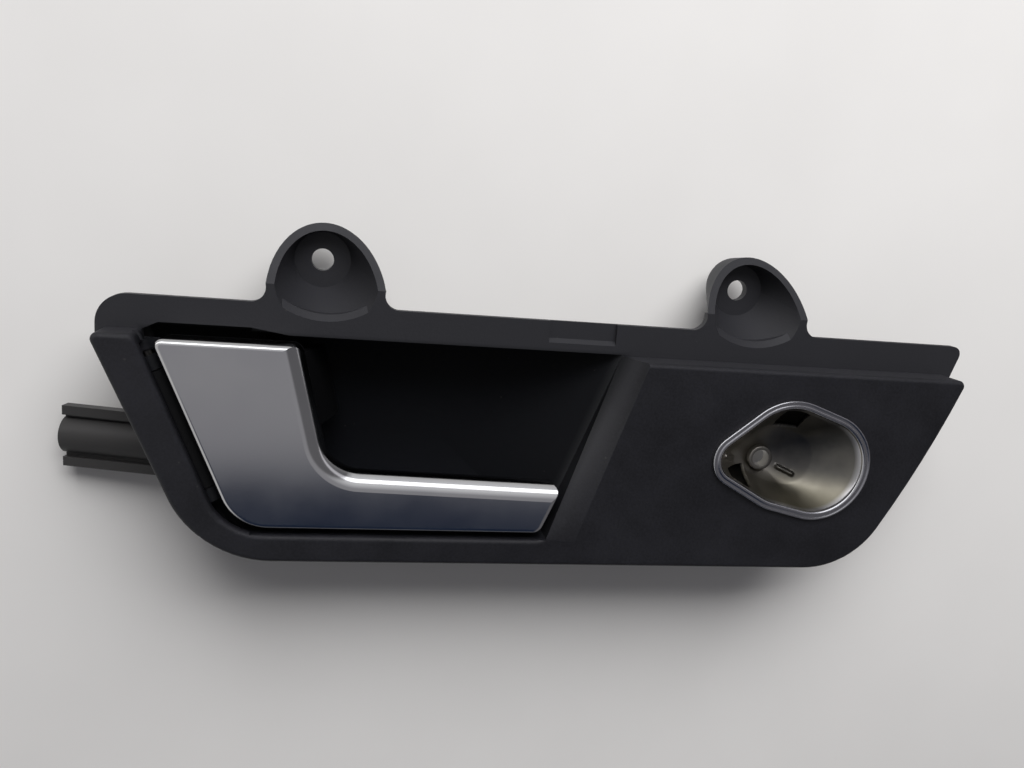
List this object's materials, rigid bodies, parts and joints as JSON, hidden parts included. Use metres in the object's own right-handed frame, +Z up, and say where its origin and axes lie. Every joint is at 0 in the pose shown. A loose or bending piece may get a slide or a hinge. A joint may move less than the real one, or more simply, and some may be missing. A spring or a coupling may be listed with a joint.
{
  "type": "car interior door handle",
  "caption": "Interior car door handle: black housing with a finger pocket, sprung L-shaped satin lever, egg-shaped lock cup, cone-shaped screw ears and a cable channel.",
  "frame": {"origin": "midway between the two screw holes, on the front of the floors that the screw heads press on", "axes": "+X along the handle towards the lock cup, +Y into the door, +Z up"},
  "size_m": [0.2667, 0.0338, 0.0921],
  "materials": {
    "housing_plastic": "fine grain, soft matt",
    "lever_metal": "satin",
    "arm_plastic": "moulded, matt",
    "screw_steel": "zinc plated",
    "pin_steel": "ground",
    "spring_steel": "drawn wire",
    "buffer_rubber": "matt",
    "cup_plastic": "metallised, satin rim and glossy bowl"
  },
  "bodies": {
    "base": {"housing": "housing_plastic", "lock_cup": "cup_plastic", "hinge_pin": "pin_steel", "return_spring": "spring_steel", "rest_buffer": "buffer_rubber"},
    "lever": {"handle_lever": "lever_metal", "lever_arm": "arm_plastic", "arm_screws": "screw_steel"}
  },
  "joints": [
    {"name": "lever_hinge", "type": "hinge", "parent": "base", "child": "lever", "pos_m": [-0.10504, -0.0168, -0.0265], "axis": [0.3891, 0, -0.9212], "range_deg": [0, 32], "stiffness_Nm_per_rad": 0.25, "springref_deg": -34.38, "deforming": ["return_spring"]}
  ]
}
